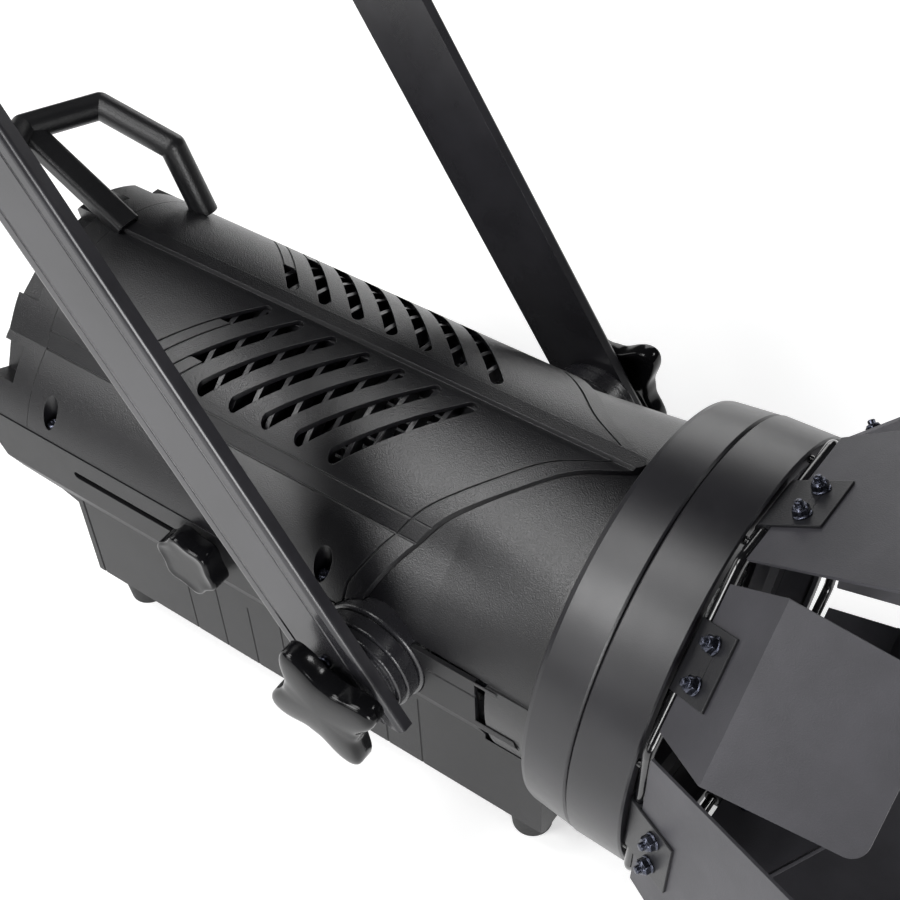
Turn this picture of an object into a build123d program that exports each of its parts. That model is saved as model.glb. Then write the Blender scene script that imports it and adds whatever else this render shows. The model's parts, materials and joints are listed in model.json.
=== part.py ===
from build123d import *
import os
from math import cos, pi, radians, sin

os.makedirs("parts", exist_ok=True)

# ---------------------------------------------------------------- driving dimensions (mm)
# Shapes are drawn about the tilt axis: X across the body, beam along -Y, Z up.
# Every part is then moved so that the origin is the middle of the whole object, at its feet.
pivot_height = 122.0
foot_height = 20.0
beam_axis_z = 3.0
wall = 2.5

# upper shell
seam_z = 20.0
shell_half_width = 96.0
crown_radius = 76.9
crown_centre_z = 22.0
shoulder_in = (62.5, 66.8)
shoulder_out = (68.3, 58.5)
flank_middle = (84.2, 42.0)
shell_rear_y = 240.0
arch_points = [(90, 8), (74.3, -3.4), (62.6, -12.5), (48.3, -29.1), (31.7, -48.2), (14.6, -68.2)]
arch_tip_y = -90.0
arch_band = 11.0
spine_half_width = 4.0
spine_top_z = 101.0
vent_count = 7
vent_pitch = 21.3
vent_width = 6.4
vent_inner = (11.2, 127.0)
vent_outer = (55.7, 177.2)
rib_pitch = 12.0
rib_thickness = 2.6

# lower shell
lower_half_width = 96.3
band_low_z = -16.0
ledge_z = -34.0
base_half_width = 88.5
base_z = -102.0
base_rear_y = 225.0
base_front_y = -94.0
front_groove = (-32.0, -78.0)
front_groove_z = 8.0
cowl_front_y = -97.0
cowl_radius = 97.0
rear_y = 272.0
side_groove_first = -18.0
side_groove_pitch = 23.2
side_groove_count = 8
focus_slot = (106.5, 208.0)
focus_slot_height = 5.0

# tilt hubs and yoke
hub_radius = 30.0
hub_disc_radius = 28.4
hub_neck_radius = 27.0
hub_inner_x = 84.2
hub_flange_x = 98.0
hub_outer_x = 107.0
disc_outer_x = 114.0
arm_inner_x = 114.3
arm_thickness = 8.0
arm_width = 45.0
arm_lean = 33.0
arm_tail = 24.0
groove_offset = 14.2
crossbar_reach = 345.0
stud_radius = 5.0
running_gap = 0.05
clamp_hole_radius = 6.5
knob_back_x = 127.5
knob_rim_x = 136.0
knob_face_x = 142.8
knob_reach = 37.5
knob_waist = 23.0
left_knob_turn = 60.0
right_knob_turn = 35.0

# front rings and lens
ring_rear_f = 94.5
ring_split_f = 121.2
ring_gap = 0.6
ring_radius = 113.5
holder_front_f = 151.0
spigot_radius = 104.95
spigot_front_f = 129.0
lens_radius = 99.6

# barn doors
door_turn = -4.4
rod_radius = 2.75
rod_corner_radius = 116.0
rod_f = 155.8
rod_bend = 8.0
sheet = 1.5
main_door_length = 115.0
main_half_width = 46.0
main_flare = 0.2
main_hinge_shift = 7.0
slim_root_half_width = 34.0
slim_fold_half_width = 40.8
slim_tip_half_width = 37.0
slim_fold = 46.0
slim_fold_angle = 44.0
slim_door_length = 66.0
hinge_width = 33.4
hinge_reach = 28.3
screw_offset = 9.2
screw_s = 16.5
bolt_top = 11.6
door_names = ["right", "upper_right", "top", "upper_left", "left", "lower_left", "bottom", "lower_right"]
door_angles = {"right": 25, "upper_right": 44, "top": 29, "upper_left": 44,
               "left": 25, "lower_left": -13, "bottom": 0, "lower_right": -13}

# handle behind the housing
handle_radius = 7.5
handle_rear_y = 302.0

# focus carriage
head_y = 24.0
stem_y = 112.0
knob_inner_x = 99.2
focus_knob_reach = 20.0
focus_knob_waist = 17.2
focus_knob_turn = 15.0
rail_x = 62.0
rail_z = -38.0
rail_radius = 5.0


middle_y = (handle_rear_y + handle_radius - rod_f - main_door_length) / 2


# ---------------------------------------------------------------- helpers
def save(name, *shapes):
    """Write the solids of one node, moved to the object's origin."""
    solids = []
    for shape in shapes:
        solids.extend(shape.solids())
    body = solids[0] if len(solids) == 1 else Compound(children=solids)
    export_step(body.moved(Location((0, -middle_y, pivot_height))), f"parts/{name}.step")


def block(x0, x1, y0, y1, z0, z1):
    """A box between two corners."""
    centre = ((x0 + x1) / 2, (y0 + y1) / 2, (z0 + z1) / 2)
    return Location(centre) * Box(abs(x1 - x0), abs(y1 - y0), abs(z1 - z0))


def rod(radius, start, end):
    """A round bar between two points."""
    path = Vector(*end) - Vector(*start)
    plane = Plane(origin=Vector(*start), z_dir=path)
    return extrude(plane * Circle(radius), amount=path.length)


def both_sides(shape):
    """The shape and its mirror image across the symmetry plane."""
    return [shape, mirror(shape, about=Plane.YZ)]


def turned(points):
    """Revolve (radius, forward) points about the beam axis."""
    outline = Polyline(*[(r, -f) for r, f in points], close=True)
    solid = revolve(make_face(outline), axis=Axis.Y)
    return Location((0, 0, beam_axis_z)) * solid


def slab_y(outline, y0, y1):
    """Extrude a closed XZ face from y0 back to y1."""
    return extrude(Plane.XZ.offset(-y1) * outline, amount=y1 - y0)


def hex_nut(across_flats, thickness, bore):
    """A plain hexagonal nut standing on XY."""
    blank = extrude(RegularPolygon(across_flats / 2, 6, major_radius=False), amount=thickness)
    return blank - Cylinder(bore, 3 * thickness)


# ---------------------------------------------------------------- upper shell
def core_outline(low_z):
    """The closed body section above low_z, without the spine."""
    left = [(-x, z) for x, z in (shoulder_in, shoulder_out, flank_middle)]
    crown_top = (0, crown_centre_z + crown_radius)
    corner = (shell_half_width, seam_z - 1)
    edges = [
        Line((-corner[0], low_z), (-corner[0], corner[1])),
        ThreePointArc((-corner[0], corner[1]), left[2], left[1]),
        Line(left[1], left[0]),
        ThreePointArc(left[0], crown_top, shoulder_in),
        Line(shoulder_in, shoulder_out),
        ThreePointArc(shoulder_out, flank_middle, corner),
        Line(corner, (corner[0], low_z)),
        Line((corner[0], low_z), (-corner[0], low_z)),
    ]
    return make_face(edges)


def core_solid(inset, y0, y1):
    """The body section moved inwards by inset and drawn out along Y."""
    section = core_outline(-60)
    if inset:
        section = offset(section, -inset, kind=Kind.INTERSECTION)
    return slab_y(section, y0, y1)


def arch_curve(shift):
    """The swept front edge in plan, moved back by shift."""
    right = [(x, y + shift) for x, y in arch_points]
    left = [(-x, y) for x, y in reversed(right)]
    return Spline(*(right + [(0, arch_tip_y + shift)] + left))


def arch_region(shift):
    """Everything in front of the swept edge, in plan."""
    curve = arch_curve(shift)
    start, end = curve @ 0, curve @ 1
    far = -200
    return make_face([
        curve,
        Polyline((end.X, end.Y), (-140, end.Y), (-140, far), (140, far), (140, start.Y), (start.X, start.Y)),
    ])


def vent_slot(index, side, width):
    """One swept vent slot in plan."""
    back = -index * vent_pitch
    inner = (side * vent_inner[0], vent_inner[1] + back)
    outer = (side * vent_outer[0], vent_outer[1] + back)
    middle = (side * 33.0, (vent_inner[1] + vent_outer[1]) / 2 + back - 2.2)
    return SlotArc(ThreePointArc(inner, middle, outer), width)


def hub_openings(shape):
    """Cut the round openings that the two tilt hubs pass through."""
    for side in (-1, 1):
        shape -= rod(hub_radius + 0.35, (side * 78, 0, 0), (side * 130, 0, 0))
    return shape


def upper_shell():
    outer = core_solid(0, base_front_y, shell_rear_y)
    spine = slab_y(make_face(Polyline(
        (-spine_half_width - 1.2, 97), (-spine_half_width, spine_top_z), (spine_half_width, spine_top_z),
        (spine_half_width + 1.2, 97), close=True)), base_front_y, shell_rear_y)
    cavity = core_solid(wall, base_front_y - 1, shell_rear_y + 1)
    for x, y in screw_places:
        cavity -= rod(7.2, (x, y, -70), (x, y, 90))
    shell = hub_openings(outer + spine - cavity)
    shell -= block(-120, 120, -120, 260, -70, seam_z + 0.15)
    for x, y in screw_places:
        shell -= rod(5.0, (x, y, seam_z + 5), (x, y, 70))
        shell -= rod(2.3, (x, y, 0), (x, y, seam_z + 6))

    skin = outer - core_solid(0.8, base_front_y - 1, shell_rear_y + 1)
    behind = extrude(Plane.XY.offset(-10) * arch_region(arch_band + 0.8), amount=130)
    ahead = extrude(Plane.XY.offset(-15) * arch_region(arch_band - 0.8), amount=140)
    shell -= (behind - ahead) & skin
    for side in (-1, 1):
        for x, z in (shoulder_in, shoulder_out):
            shell -= rod(0.7, (side * x, -20, z + 0.3), (side * x, shell_rear_y, z + 0.3))
        for index in range(vent_count):
            slot = extrude(Plane.XY.offset(55) * vent_slot(index, side, vent_width), amount=60)
            if index == 0:
                slot &= block(-26, 26, 0, 200, 50, 120)
            if index == 1:
                slot &= block(-47, 47, 0, 200, 50, 120)
            shell -= slot
        for index in (0, 1):
            rim = vent_slot(index, side, vent_width) - vent_slot(index, side, vent_width - 1.8)
            shell -= extrude(Plane.XY.offset(55) * rim, amount=60) & skin

    return shell - extrude(Plane.XY.offset(-70) * arch_region(0), amount=200)


def vent_grille(side):
    """Cross ribs under one bank of vents, joined by two runners."""
    under = core_solid(wall + 0.3, -20, 200) - core_solid(wall + 9, -30, 210)
    ribs = []
    y = vent_inner[1] - 6 * vent_pitch - 4
    while y < vent_outer[1]:
        ribs.append(block(side * 8, side * 58, y, y + rib_thickness, 40, 110))
        y += rib_pitch
    last = y - rib_pitch + rib_thickness
    first = vent_inner[1] - 6 * vent_pitch - 4
    runners = [block(side * x, side * (x + 1.4), first, last, 40, 110) for x in (8, 57)]
    grille = ribs[0]
    for bar in ribs[1:] + runners:
        grille += bar
    return grille & under


# ---------------------------------------------------------------- lower shell
screw_places = [(x, y) for x in (-88.3, 88.3) for y in (35.0, 224.0)]


def lower_section(top_z):
    half = [(lower_half_width, top_z), (lower_half_width, band_low_z), (base_half_width, ledge_z),
            (base_half_width, base_z + 4), (base_half_width - 4, base_z)]
    other = [(-x, z) for x, z in reversed(half)]
    return make_face(Polyline(*(half + other), close=True))


def lower_side(top_z):
    """The lower shell seen from the side, as a YZ outline."""
    front_top = -72 + 0.35 * (top_z - seam_z)
    points = [(front_top, top_z), (base_front_y, -50), (base_front_y, base_z), (base_rear_y, base_z),
              (base_rear_y, ledge_z - 4), (262, -26), (rear_y, -8), (rear_y, top_z)]
    return make_face(Polyline(*points, close=True))


def lower_block(inset, top_z):
    section = lower_section(top_z)
    side = lower_side(top_z)
    if inset:
        section = offset(section, -inset, kind=Kind.INTERSECTION)
        side = offset(side, -inset, kind=Kind.INTERSECTION)
    along = slab_y(section, base_front_y - 5, rear_y + 5)
    across = extrude(Plane.YZ.offset(-120) * side, amount=240)
    return along & across


def lower_shell():
    cavity = lower_block(wall, seam_z + 30)
    for x, y in screw_places:
        cavity -= block(0.94 * x, 1.08 * x, y - 5.5, y + 5.5, -12, seam_z)
    shell = hub_openings(lower_block(0, seam_z - 0.15) - cavity)
    for x, y in screw_places:
        shell -= rod(1.95, (x, y, -8), (x, y, seam_z))
    start, end = focus_slot
    slot = Plane.YZ.offset(-120) * Location(((start + end) / 2, beam_axis_z, 0))
    shell -= extrude(slot * SlotOverall(end - start, focus_slot_height), amount=50)
    shell -= turned([(0, 60), (97.4, 60), (97.4, 130), (0, 130)])
    shell -= block(-78, 78, base_rear_y - 5, base_rear_y + 2, -94, -44)
    for side in (-1, 1):
        wall_x = side * base_half_width
        for index in range(side_groove_count):
            y = side_groove_first + index * side_groove_pitch
            top = ledge_z - (4 if index < 2 else 12)
            shell -= rod(0.6, (wall_x, y, top), (wall_x, y, base_z))
        shell -= rod(0.9, (wall_x, base_rear_y - 5, ledge_z), (wall_x, base_rear_y - 5, base_z))
        band_x = side * lower_half_width
        corner = (band_x, front_groove[1], front_groove_z)
        shell -= rod(0.9, (band_x, front_groove[0], front_groove_z), corner)
        shell -= rod(0.9, corner, (band_x, front_groove[1] - 6, band_low_z))
    for x, y in foot_places:
        shell -= rod(2.6, (x, y, base_z - 1), (x, y, base_z + wall + 1))
    return shell


foot_places = [(x, y) for x in (-72, 72) for y in (-78, 205)]


def rubber_feet():
    feet = []
    for x, y in foot_places:
        pad = Location((x, y, 0)) * Cone(11, 13, foot_height, align=(Align.CENTER, Align.CENTER, Align.MIN))
        plug = rod(2.5, (x, y, foot_height - 1), (x, y, foot_height + wall))
        feet.append(Location((0, 0, -pivot_height)) * (pad + plug))
    return feet


# ---------------------------------------------------------------- rear end
def rear_cap():
    start = shell_rear_y + 0.3
    outer = core_solid(0, start, rear_y)
    outer -= block(-120, 120, 200, 300, -70, seam_z + 0.15)
    back_edges = outer.faces().sort_by(Axis.Y)[-1].edges().filter_by(lambda e: e.center().Z > seam_z + 1)
    cap = chamfer(back_edges, 3)
    cap -= core_solid(wall, start - 1, start + 10) & block(-120, 120, 200, 300, seam_z - 1, 120)
    cap -= core_solid(13, start - 1, rear_y - wall)
    for angle in (24, 56, 82):
        for side in (-1, 1):
            frame = Location((0, 0, 12)) * Location((0, 0, 0), (0, -side * (90 - angle), 0))
            cap -= frame * block(-10, 10, start + 14, rear_y + 1, 77, 110)
    for column in range(-4, 5):
        for row in range(3):
            cap -= rod(3, (column * 13, rear_y - 8, 32 + row * 13), (column * 13, rear_y + 2, 32 + row * 13))
    return cap


def bar(start, end, width, depth):
    """A straight bar of rounded rectangular section, its width along X where it can be."""
    path = Vector(*end) - Vector(*start)
    across = Vector(1, 0, 0) if abs(path.X) < 0.9 * path.length else Vector(0, 1, 0)
    level = across - path * (across.dot(path) / path.dot(path))
    plane = Plane(origin=Vector(*start), x_dir=level, z_dir=path)
    return extrude(plane * RectangleRounded(width, depth, depth * 0.3), amount=path.length)


def rear_handle():
    knee = (46, 238, 122)
    corner = (40, 284, 135)
    middle = (0, handle_rear_y, 137)
    handle = bar((0, 234, 99), middle, 15, 10)
    for side in (-1, 1):
        foot, bend, turn = [(side * x, y, z) for x, y, z in ((46, 222, 84), knee, corner)]
        for start, end in ((foot, bend), (bend, turn), (turn, middle)):
            handle += rod(handle_radius, start, end)
        for joint in (bend, turn, middle):
            handle += Location(joint) * Sphere(handle_radius)
    return handle - core_solid(0, 180, 290) - block(-6, 6, 180, 240.3, 96, spine_top_z + 0.1)


def rear_panel():
    plate = block(-84, 84, base_rear_y + 0.2, base_rear_y + 2.2, -98, -40)
    for x, radius in socket_places:
        plate -= rod(radius, (x, 200, -70), (x, 240, -70))
    plate -= block(-22, 22, 200, 240, -62, -44)
    for x in button_places:
        plate -= rod(3.3, (x, 200, -72), (x, 240, -72))
    return plate


socket_places = [(-66, 12.0), (-38, 12.0), (38, 11.0), (66, 11.0)]
button_places = [-16.5, -5.5, 5.5, 16.5]
panel_y = base_rear_y + 2.2


def socket(x, radius, flange, pin_count):
    """A round panel socket with its square flange and contact holes."""
    body = rod(radius - 0.1, (x, panel_y - 24, -70), (x, panel_y + 2, -70))
    body += block(x - flange, x + flange, panel_y + 0.1, panel_y + 2.6, -70 - flange, -70 + flange)
    body -= rod(radius - 3, (x, panel_y - 11, -70), (x, panel_y + 5, -70))
    core = rod(radius - 5, (x, panel_y - 12, -70), (x, panel_y - 4.5, -70))
    for index in range(pin_count):
        turn = 2 * pi * index / pin_count
        px, pz = x + 3 * cos(turn), -70 + 3 * sin(turn)
        core -= rod(1.1, (px, panel_y - 10, pz), (px, panel_y, pz))
    return body + core


def menu_button(x):
    cap = rod(3.0, (x, panel_y - 5, -72), (x, panel_y + 2.2, -72))
    return cap + rod(4.2, (x, panel_y - 6, -72), (x, panel_y - 4.6, -72))


def display():
    case = block(-21.8, 21.8, panel_y - 8, panel_y + 0.6, -61.8, -44.2)
    return case - block(-18, 18, panel_y + 0.1, panel_y + 2, -59, -47)


# ---------------------------------------------------------------- front end
def resample(curve, count):
    return [(curve @ (i / (count - 1))) for i in range(count)]


def cowl_body(inset):
    """The blend from the body section to the round barrel, above the seam."""
    count = 17
    section = offset(core_outline(-60), -inset, kind=Kind.INTERSECTION)
    cut = section & Location((0, 100, 0)) * Rectangle(300, 2 * (100 - seam_z - 0.15))
    crown = [e for e in cut.edges() if abs(e.center().Y - seam_z - 0.15) > 0.05]
    back = Wire(crown)
    radius = cowl_radius - (inset - 2.9)
    centre_z = -1.0
    low = seam_z + 0.15
    half = (radius ** 2 - (low - centre_z) ** 2) ** 0.5
    front = ThreePointArc((-half, low), (0, radius + centre_z), (half, low))
    rings = []
    for y, curve in ((-27.0, back), (cowl_front_y, front)):
        points = resample(curve, count)
        if points[0].X > 0:
            points.reverse()
        flat = [(p.X, p.Y) for p in points]
        outline = make_face([Spline(*flat), Line(flat[-1], flat[0])])
        rings.append(Plane.XZ.offset(-y) * outline)
    return loft(rings) + extrude(rings[0], amount=-43)


def front_cowl():
    upper = cowl_body(2.9) - (Location((0, 0, -0.5)) * cowl_body(2.9 + wall))
    inner = cowl_radius - wall
    collar = turned([(inner, 66), (cowl_radius, 66), (cowl_radius, -cowl_front_y), (inner, -cowl_front_y)])
    upper -= block(-60, 60, -8, 40, 30, 120)
    return hub_openings(upper + (collar & block(-120, 120, -120, 0, -110, seam_z + 0.15)))


def front_ring():
    profile = [(97.2, ring_rear_f), (107.5, ring_rear_f), (109.6, ring_rear_f + 0.9),
               (110.3, ring_rear_f + 3.0), (ring_radius - 0.6, ring_split_f - 1.2),
               (ring_radius - 1.6, ring_split_f),
               (spigot_radius, ring_split_f), (spigot_radius, spigot_front_f), (100.0, spigot_front_f),
               (100.0, 112.0), (91.0, 112.0), (91.0, 97.3), (97.2, 97.3)]
    return turned(profile)


def fresnel_lens():
    """A plano lens with a stepped front face."""
    rings = 9
    step = 90.0 / rings
    back, edge = 112.1, 116.1
    points = [(0, back), (lens_radius, back), (lens_radius, edge), (90.0, edge)]
    for index in range(rings, 1, -1):
        inner = (index - 1) * step
        points += [(inner + 0.8, edge + 3.2), (inner, edge + 0.4)]
    points += [(step * 0.6, edge + 2.4), (0, edge + 3.0)]
    return turned(points)


def lens_retainer():
    return turned([(93.0, 119.8), (96.5, 116.3), (99.8, 116.3), (99.8, 129.3), (108.4, 129.3), (108.4, 131.6),
                   (97.0, 131.6), (93.0, 127.6)])


def accessory_ring():
    rear = ring_split_f + ring_gap
    ring = turned([(spigot_radius + running_gap, rear), (ring_radius - 0.8, rear), (ring_radius, rear + 0.8),
                   (114.3, holder_front_f - 1), (113.3, holder_front_f), (106.5, holder_front_f),
                   (106.5, holder_front_f - 2.5), (109.0, holder_front_f - 2.5), (109.0, 129.0),
                   (spigot_radius + running_gap, 129.0)])
    return ring


def on_ring(angle, radius, forward):
    """A point at an angle and radius about the beam axis."""
    turn = radians(angle)
    return (radius * cos(turn), -forward, beam_axis_z + radius * sin(turn))


def door_frame():
    """The bent octagonal rod and its feet on the accessory ring."""
    corners = [Vector(*on_ring(door_turn + 22.5 + 45 * k, rod_corner_radius, rod_f)) for k in range(8)]
    setback = rod_bend * sin(radians(22.5)) / cos(radians(22.5))
    rise = rod_bend / cos(radians(22.5)) - rod_bend
    frame = None
    for k, corner in enumerate(corners):
        before, after = corners[k - 1], corners[(k + 1) % 8]
        start = corner + (before - corner).normalized() * setback
        end = corner + (after - corner).normalized() * setback
        centre = Vector(0, -rod_f, beam_axis_z)
        middle = corner + (centre - corner).normalized() * rise
        arc = ThreePointArc(start, middle, end)
        bend = sweep(Plane(origin=start, z_dir=arc % 0) * Circle(rod_radius), path=arc)
        side = rod(rod_radius, end, after + (corner - after).normalized() * setback)
        frame = bend + side if frame is None else frame + bend + side
    for k in range(0, 8, 2):
        for shift in (-16.5, 16.5):
            angle = door_turn + 45 * k + shift
            frame += rod(2.0, on_ring(angle, 110.4, holder_front_f), on_ring(angle, 110.4, rod_f))
    return frame


# ---------------------------------------------------------------- barn doors
def door_place(index):
    """The rest frame of one door: X along its hinge, Y out along the sheet, Z away from the beam."""
    side = door_turn + 45 * index
    turn = radians(side)
    swing = radians(door_angles[door_names[index]])
    apothem = rod_corner_radius * cos(radians(22.5))
    outward = Vector(cos(turn), 0, sin(turn))
    along = Vector(-sin(turn), 0, cos(turn))
    normal = outward * cos(swing) + Vector(0, 1, 0) * sin(swing)
    return Plane(origin=on_ring(side, apothem, rod_f), x_dir=along, z_dir=normal)


sheet_low = 1.25
sheet_start = 4.7


def main_door():
    """A wide flared door with rounded outer corners."""
    tip = main_half_width + main_flare * (main_door_length - sheet_start)
    root = main_half_width
    corners = [(-root, sheet_start), (root, sheet_start), (tip, main_door_length), (-tip, main_door_length)]
    outline = Polyline(*corners, close=True)
    door = extrude(Plane.XY.offset(sheet_low) * make_face(outline), amount=sheet)
    outer = door.edges().filter_by(Axis.Z).sort_by(Axis.Y)[-2:]
    return fillet(outer, 9)


def slim_door():
    """A narrow door, folded inwards along a line and widest at the fold."""
    fold = radians(slim_fold_angle)
    rise, run = sin(fold), cos(fold)
    lean = sheet * (1 - run) / rise
    tip = (slim_fold + slim_door_length * run, sheet_low - slim_door_length * rise)
    side = make_face(Polyline(
        (sheet_start, sheet_low), (slim_fold, sheet_low), tip, (tip[0] + sheet * rise, tip[1] + sheet * run),
        (slim_fold + lean, sheet_low + sheet), (sheet_start, sheet_low + sheet), close=True))
    blank = extrude(Plane.YZ.offset(-60) * side, amount=120)
    root_part = make_face(Polyline(
        (-slim_root_half_width, sheet_start - 1), (slim_root_half_width, sheet_start - 1),
        (slim_fold_half_width, slim_fold), (-slim_fold_half_width, slim_fold), close=True))
    tip_part = make_face(Polyline(
        (-slim_fold_half_width, -1.5), (slim_fold_half_width, -1.5),
        (slim_tip_half_width, slim_door_length + 1), (-slim_tip_half_width, slim_door_length + 1), close=True))
    fold_plane = Plane(origin=(0, slim_fold, sheet_low), x_dir=(1, 0, 0), z_dir=(0, rise, run))
    tip_part = fold_plane * tip_part
    door = blank & (extrude(root_part, amount=8, both=True) + extrude(tip_part, amount=8, both=True))
    short = [edge for edge in door.edges() if edge.length < 2 * sheet]
    tips = sorted(short, key=lambda edge: edge.center().Y)[-2:]
    return fillet(tips, 8)


def door_with_holes(blank, shift):
    for side in (-1, 1):
        blank -= Location((shift + side * screw_offset, screw_s, 0)) * Cylinder(2.3, 20)
    return blank


def door_hinge():
    """A strap wrapped round the rod, with two screws and nuts through the sheet."""
    bore = rod_radius + running_gap
    outer = bore + sheet
    leaf_low = sheet_low + sheet + 0.05
    corners = [(0, leaf_low), (hinge_reach, leaf_low), (hinge_reach, outer), (0, outer)]
    leaf = make_face(Polyline(*corners, close=True))
    section = Circle(outer) + leaf - Circle(bore)
    strap = extrude(Plane.YZ.offset(-hinge_width / 2) * section, amount=hinge_width)
    pieces = []
    for side in (-1, 1):
        spot = Location((side * screw_offset, screw_s, 0))
        strap -= spot * Cylinder(2.3, 20)
        head = extrude(Plane.XY.offset(sheet_low - 2.45) * Circle(3.8), amount=2.4)
        shank = extrude(Plane.XY.offset(sheet_low - 1) * Circle(1.95), amount=bolt_top - sheet_low + 1)
        pieces.append(spot * (head + shank))
        pieces.append(spot * Location((0, 0, outer + 0.05)) * hex_nut(7, 3.2, 2.0))
    return [strap] + pieces


# ---------------------------------------------------------------- hubs, yoke and knobs
def drum(radius, x0, x1, lip):
    """A round disc along X with a rounded lip on its outer edge."""
    disc = rod(radius, (x0, 0, 0), (x1, 0, 0))
    return fillet(disc.edges().sort_by(Axis.X)[-1], lip)


def pivot_hub():
    """Two stepped drums with a narrow neck between them."""
    neck = rod(hub_neck_radius, (hub_flange_x - 1, 0, 0), (hub_flange_x + 1.5, 0, 0))
    hub = drum(hub_radius, hub_inner_x, hub_flange_x, 1.6) + neck
    hub += drum(hub_disc_radius, hub_flange_x + 1, hub_outer_x, 1.2)
    return hub - rod(stud_radius + running_gap, (hub_inner_x - 1, 0, 0), (hub_outer_x + 1, 0, 0))


def arm_disc():
    disc = drum(27.0, hub_outer_x + 0.3, disc_outer_x - 1.5, 1.2)
    disc += rod(24.5, (disc_outer_x - 2, 0, 0), (arm_inner_x - 0.05, 0, 0))
    return disc - rod(stud_radius + 0.1, (90, 0, 0), (120, 0, 0))


lean = radians(arm_lean)
arm_plane = Plane(origin=(0, 0, 0), x_dir=(0, -cos(lean), sin(lean)), z_dir=(1, 0, 0))


def along_arm(distance, across=0.0):
    """A point in the plane of the arms, in Y and Z."""
    return (distance * sin(lean) - across * cos(lean), distance * cos(lean) + across * sin(lean))


def yoke_arm():
    """A flat extruded bar with two grooves on its outer face, cut level at its lower end."""
    top = crossbar_reach + arm_thickness + 12
    length = top + arm_width
    y, z = along_arm((top - arm_width) / 2)
    frame = Plane(origin=(arm_inner_x, y, z), x_dir=(0, -cos(lean), sin(lean)), z_dir=(1, 0, 0))
    arm = extrude(frame * Rectangle(arm_width, length), amount=arm_thickness)
    long_edges = [e for e in arm.edges() if e.length > length - 1]
    outer_edges = [e for e in long_edges if e.center().X > arm_inner_x + 1]
    arm = fillet(outer_edges, 3.2)
    for across in (-groove_offset, groove_offset):
        start = along_arm(-arm_width, across)
        end = along_arm(top + 5, across)
        arm -= rod(0.9, (arm_inner_x + arm_thickness, *start), (arm_inner_x + arm_thickness, *end))
    arm -= block(100, 130, -60, 60, -80, -13)
    arm -= rod(stud_radius + running_gap, (100, 0, 0), (140, 0, 0))
    y, z = along_arm(15.4, -1)
    arm -= rod(2.2, (100, y, z), (140, y, z))
    for across in (-12, 12):
        y, z = along_arm(crossbar_reach + arm_thickness / 2, across)
        arm -= rod(2.6, (100, y, z), (140, y, z))
    return arm


def yoke_crossbar():
    y, z = along_arm(crossbar_reach)
    frame = Plane(origin=(0, y, z), x_dir=(1, 0, 0), z_dir=(0, sin(lean), cos(lean)))
    bar_length = 2 * (arm_inner_x - 0.05)
    crossbar = extrude(frame * Rectangle(bar_length, arm_width), amount=arm_thickness)
    crossbar = chamfer(crossbar.edges().filter_by(Axis.X), 0.6)
    crossbar -= extrude(frame.offset(-5) * Circle(clamp_hole_radius), amount=20)
    for side in (-1, 1):
        for across in (-12, 12):
            y, z = along_arm(crossbar_reach + arm_thickness / 2, across)
            crossbar -= rod(2.1, (side * (arm_inner_x - 14), y, z), (side * arm_inner_x, y, z))
    return crossbar


def yoke_screws():
    face = arm_inner_x + arm_thickness
    screws = []
    for side in (-1, 1):
        for across in (-12, 12):
            y, z = along_arm(crossbar_reach + arm_thickness / 2, across)
            shank = rod(2.0, (side * (face - 20), y, z), (side * (face + 1), y, z))
            screws.append(shank + rod(4.2, (side * (face + 0.05), y, z), (side * (face + 2.6), y, z)))
        y, z = along_arm(15.4, -1)
        shank = rod(2.0, (side * (arm_inner_x + 0.5), y, z), (side * (face + 1), y, z))
        screws.append(shank + rod(3.7, (side * (face + 0.05), y, z), (side * (face + 2.2), y, z)))
    return screws


def lobed_outline(lobes, reach, waist, sharpness, turn=0.0):
    """A closed smooth outline whose radius swings between waist and reach."""
    count = 12 * lobes
    points = []
    for index in range(count):
        angle = 2 * pi * index / count
        radius = waist + (reach - waist) * ((1 + cos(lobes * angle)) / 2) ** sharpness
        place = angle + radians(turn)
        points.append((radius * cos(place), radius * sin(place)))
    return make_face(Spline(*points, periodic=True))


def tilt_knob(turn):
    """A domed four-lobed knob on its stud, drawn on the +X side."""
    layers = []
    for x, size in ((knob_rim_x, 1.0), ((knob_rim_x + 2 * knob_face_x) / 3, 0.88), (knob_face_x, 0.55)):
        plane = Plane(origin=(x, 0, 0), x_dir=(0, 1, 0), z_dir=(1, 0, 0))
        layers.append(plane * lobed_outline(4, size * knob_reach, size * knob_waist, 1.8, turn))
    grip = extrude(layers[0], amount=knob_back_x - knob_rim_x) + loft(layers[:2]) + loft(layers[1:])
    boss = rod(10.8, (arm_inner_x + arm_thickness + 0.3, 0, 0), (knob_back_x + 1, 0, 0))
    blind = knob_back_x + 8
    grip = grip + boss - rod(stud_radius, (100, 0, 0), (blind, 0, 0))
    return [grip, rod(stud_radius, (hub_inner_x + 2, 0, 0), (blind, 0, 0))]


# ---------------------------------------------------------------- focus carriage
def focus_knob():
    plane = Plane(origin=(-knob_inner_x, stem_y, beam_axis_z), x_dir=(0, 1, 0), z_dir=(-1, 0, 0))
    outline = lobed_outline(6, focus_knob_reach, focus_knob_waist, 1.2, focus_knob_turn)
    grip = extrude(plane * outline, amount=12.6)
    grip = chamfer(grip.faces().sort_by(Axis.X)[0].edges(), 0.8)
    return grip - rod(2.2 + running_gap, (-109.5, stem_y, beam_axis_z), (-90, stem_y, beam_axis_z))


def focus_stem():
    return rod(2.2, (-109, stem_y, beam_axis_z), (-66, stem_y, beam_axis_z))


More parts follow.
